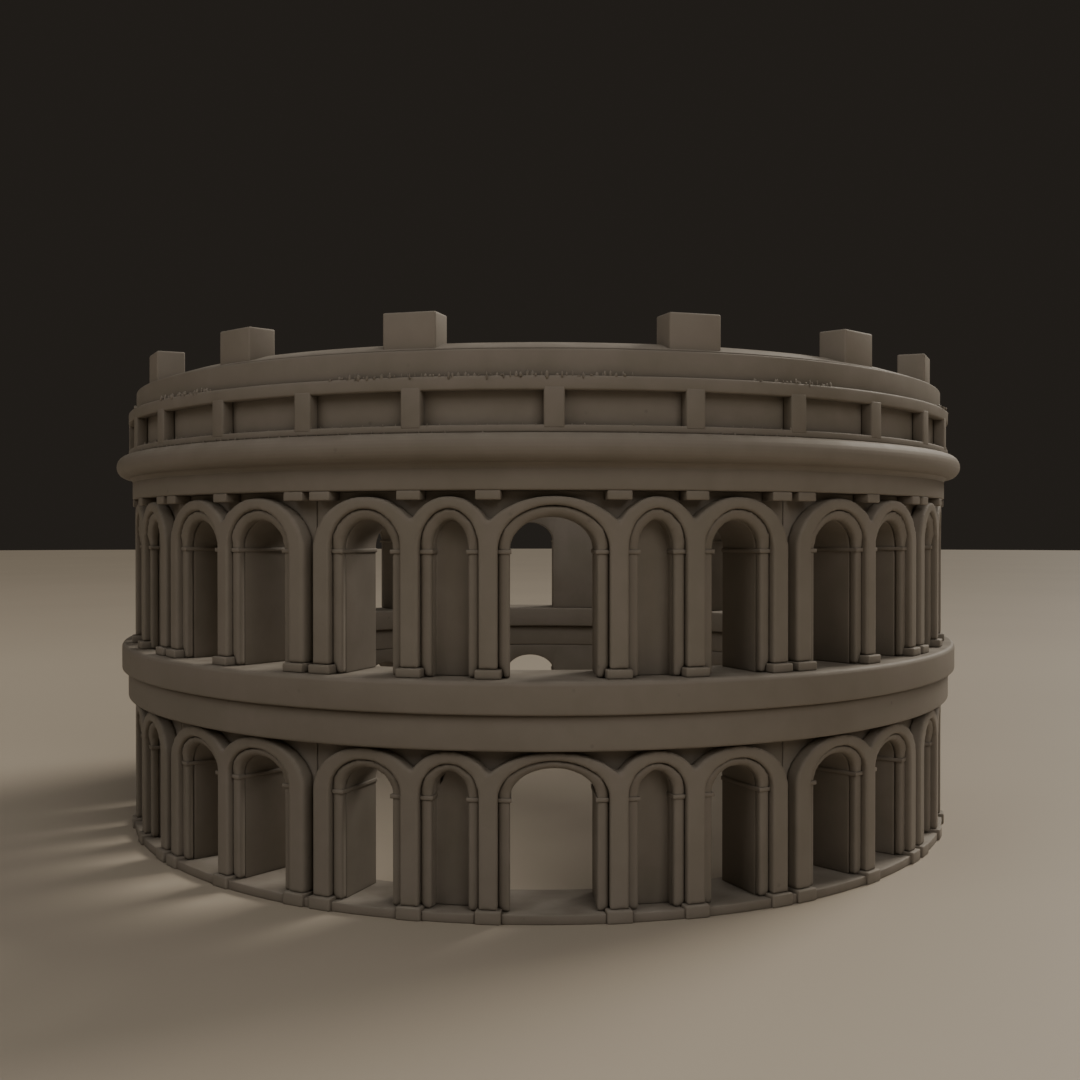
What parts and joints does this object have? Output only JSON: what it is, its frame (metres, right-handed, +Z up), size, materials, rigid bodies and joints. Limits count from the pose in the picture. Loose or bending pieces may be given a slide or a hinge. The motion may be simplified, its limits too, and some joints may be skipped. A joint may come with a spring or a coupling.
{
  "type": "amphitheatre landmark model",
  "caption": "Desk souvenir of an oval two-storey amphitheatre ring, open in the middle, with arcades, blind niches, a half-round cornice, a panelled attic and block merlons.",
  "frame": {"origin": "centre of the underside, on the surface the model stands on", "axes": "+Z up; +Y along the long axis of the oval, away from the front end gate; +X along the short axis"},
  "size_m": [0.1242, 0.1416, 0.0649],
  "materials": {
    "course_resin": "matt cast resin",
    "wall_resin": "matt cast resin",
    "arcade_resin": "matt cast resin",
    "order_resin": "matt cast resin",
    "foot_resin": "matt cast resin",
    "moulding_resin": "matt cast resin",
    "attic_resin": "matt cast resin",
    "merlon_resin": "matt cast resin",
    "dowel_plastic": "matt moulded pin"
  },
  "bodies": {
    "root": {"base_slab": "course_resin", "lower_pier_feet": "foot_resin", "lower_end_walls": "wall_resin", "lower_flank_walls": "wall_resin", "lower_quarter_walls": "wall_resin", "lower_gate_walls": "wall_resin", "lower_end_arcades": "arcade_resin", "lower_flank_arcades": "arcade_resin", "lower_quarter_arcades": "arcade_resin", "lower_gate_arcades": "arcade_resin", "lower_inner_orders": "order_resin", "lower_niche_orders": "order_resin", "lower_imposts": "moulding_resin", "lower_fascia": "course_resin", "upper_floor": "course_resin", "upper_pier_feet": "foot_resin", "upper_end_walls": "wall_resin", "upper_flank_walls": "wall_resin", "upper_quarter_walls": "wall_resin", "upper_gate_walls": "wall_resin", "upper_end_arcades": "arcade_resin", "upper_flank_arcades": "arcade_resin", "upper_quarter_arcades": "arcade_resin", "upper_gate_arcades": "arcade_resin", "upper_inner_orders": "order_resin", "upper_niche_orders": "order_resin", "upper_imposts": "moulding_resin", "brackets": "moulding_resin", "entablature": "course_resin", "cove": "course_resin", "cornice": "course_resin", "attic_wall": "attic_resin", "attic_base_rail": "attic_resin", "attic_posts": "attic_resin", "attic_top_rail": "attic_resin", "parapet": "attic_resin", "coping": "attic_resin", "merlons": "merlon_resin", "slab_dowels": "dowel_plastic", "fascia_dowels": "dowel_plastic", "floor_dowels": "dowel_plastic", "entablature_dowels": "dowel_plastic"}
  },
  "joints": []
}
